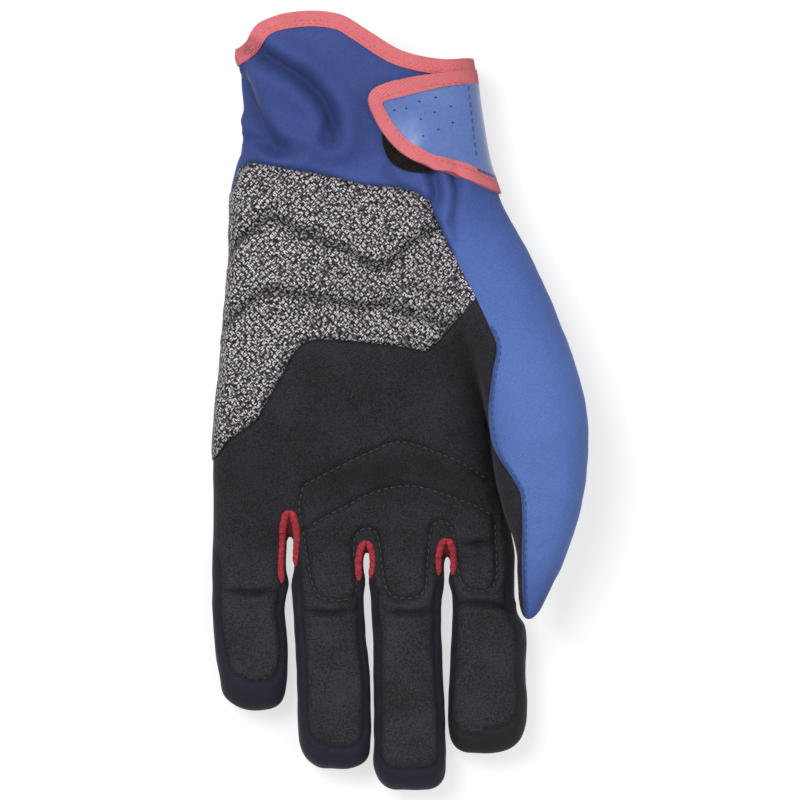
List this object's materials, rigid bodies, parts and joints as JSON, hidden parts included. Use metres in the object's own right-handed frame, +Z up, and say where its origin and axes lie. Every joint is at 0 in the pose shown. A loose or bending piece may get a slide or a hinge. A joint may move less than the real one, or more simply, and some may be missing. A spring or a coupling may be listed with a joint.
{
  "type": "full-finger sports glove",
  "caption": "Left full-finger glove for sailing or cold-weather sport: padded palm, long cuff with a hook-and-loop wrist strap, and curling fingers",
  "frame": {"origin": "on the surface that the glove's back lies on, under the middle of its bounding box", "axes": "+Z up out of the palm, +Y towards the cuff, +X towards the thumb"},
  "size_m": [0.1204, 0.2492, 0.0401],
  "materials": {
    "palm_black": "smooth matt synthetic leather, charcoal",
    "finger_suede": "fine suede, charcoal",
    "touch_suede": "fine suede, conductive, black",
    "heel_weave": "coarse black and grey woven grip fabric",
    "softshell_blue": "tight stretch softshell, mid blue",
    "softshell_navy": "tight stretch softshell, dark navy",
    "strap_coated": "coated stretch fabric, mid blue, satin",
    "binding_coral": "folded elastic tape, coral red",
    "knit_red": "stretch rib knit, red",
    "hook_and_loop": "hook and loop fastener, black",
    "foam_pad": "closed-cell foam",
    "lining_fleece": "brushed fleece, dark grey",
    "elastic": "woven elastic band"
  },
  "bodies": {
    "hand": {"palm_panel": "palm_black", "heel_patch": "heel_weave", "cuff_palm_panel": "softshell_blue", "back_panel": "softshell_blue", "thumb_saddle_outer": "softshell_blue", "thumb_saddle_inner": "palm_black", "cuff_binding": "binding_coral", "loop_patch": "hook_and_loop", "strap_root": "strap_coated", "wrist_elastic": "elastic", "palm_lining": "lining_fleece", "heel_pads": "foam_pad", "knuckle_pad": "foam_pad", "little_ring_web": "knit_red", "ring_middle_web": "knit_red", "middle_index_web": "knit_red"},
    "strap": {"strap_panel": "strap_coated", "strap_binding": "binding_coral", "hook_patch": "hook_and_loop"},
    "little_base": {"little_base_palm": "finger_suede", "little_base_back": "softshell_navy", "little_base_sides": "softshell_navy", "little_web_strips": "knit_red"},
    "little_end": {"little_end_palm": "finger_suede", "little_end_back": "softshell_navy", "little_end_sides": "softshell_navy", "little_tip_cap": "softshell_navy"},
    "ring_base": {"ring_base_palm": "finger_suede", "ring_base_back": "softshell_navy", "ring_base_sides": "softshell_navy", "ring_web_strips": "knit_red"},
    "ring_end": {"ring_end_palm": "finger_suede", "ring_end_back": "softshell_navy", "ring_end_sides": "softshell_navy", "ring_tip_cap": "softshell_navy"},
    "middle_base": {"middle_base_palm": "finger_suede", "middle_base_back": "softshell_navy", "middle_base_sides": "softshell_navy", "middle_web_strips": "knit_red"},
    "middle_end": {"middle_end_palm": "finger_suede", "middle_end_back": "softshell_navy", "middle_end_sides": "softshell_navy", "middle_tip_cap": "softshell_navy"},
    "index_base": {"index_base_palm": "finger_suede", "index_base_back": "softshell_navy", "index_base_sides": "softshell_navy", "index_web_strips": "knit_red"},
    "index_end": {"index_end_palm": "finger_suede", "index_end_back": "softshell_navy", "index_end_sides": "softshell_navy", "index_touch_patch": "touch_suede"},
    "thumb_base": {"thumb_base_outer": "softshell_blue", "thumb_base_inner": "palm_black"},
    "thumb_end": {"thumb_end_outer": "softshell_blue", "thumb_end_inner": "palm_black"}
  },
  "joints": [
    {"name": "strap_hinge", "type": "hinge", "parent": "hand", "child": "strap", "pos_m": [0.0299, 0.0865, 0.015], "axis": [-0.1776, 0.9841, 0], "range_deg": [0, 165]},
    {"name": "little_knuckle", "type": "hinge", "parent": "hand", "child": "little_base", "pos_m": [-0.0496, -0.0425, 0.0156], "axis": [-1, 0, 0], "range_deg": [0, 80]},
    {"name": "little_middle_joint", "type": "hinge", "parent": "little_base", "child": "little_end", "pos_m": [-0.0496, -0.0605, 0.0156], "axis": [-1, 0, 0], "range_deg": [0, 85]},
    {"name": "ring_knuckle", "type": "hinge", "parent": "hand", "child": "ring_base", "pos_m": [-0.0234, -0.049, 0.0172], "axis": [-1, 0, 0], "range_deg": [0, 80]},
    {"name": "ring_middle_joint", "type": "hinge", "parent": "ring_base", "child": "ring_end", "pos_m": [-0.0234, -0.0685, 0.0172], "axis": [-1, 0, 0], "range_deg": [0, 85]},
    {"name": "middle_knuckle", "type": "hinge", "parent": "hand", "child": "middle_base", "pos_m": [0.0017, -0.049, 0.0176], "axis": [-1, 0, 0], "range_deg": [0, 80]},
    {"name": "middle_middle_joint", "type": "hinge", "parent": "middle_base", "child": "middle_end", "pos_m": [0.0017, -0.0695, 0.0176], "axis": [-1, 0, 0], "range_deg": [0, 85]},
    {"name": "index_knuckle", "type": "hinge", "parent": "hand", "child": "index_base", "pos_m": [0.0269, -0.049, 0.0174], "axis": [-1, 0, 0], "range_deg": [0, 80]},
    {"name": "index_middle_joint", "type": "hinge", "parent": "index_base", "child": "index_end", "pos_m": [0.0269, -0.0695, 0.0174], "axis": [-1, 0, 0], "range_deg": [0, 85]},
    {"name": "thumb_root_joint", "type": "hinge", "parent": "hand", "child": "thumb_base", "pos_m": [0.0603, -0.008, 0.023], "axis": [0, 0, 1], "range_deg": [0, 35]},
    {"name": "thumb_middle_joint", "type": "hinge", "parent": "thumb_base", "child": "thumb_end", "pos_m": [0.0571, -0.038, 0.023], "axis": [0, 0, 1], "range_deg": [0, 30]}
  ]
}
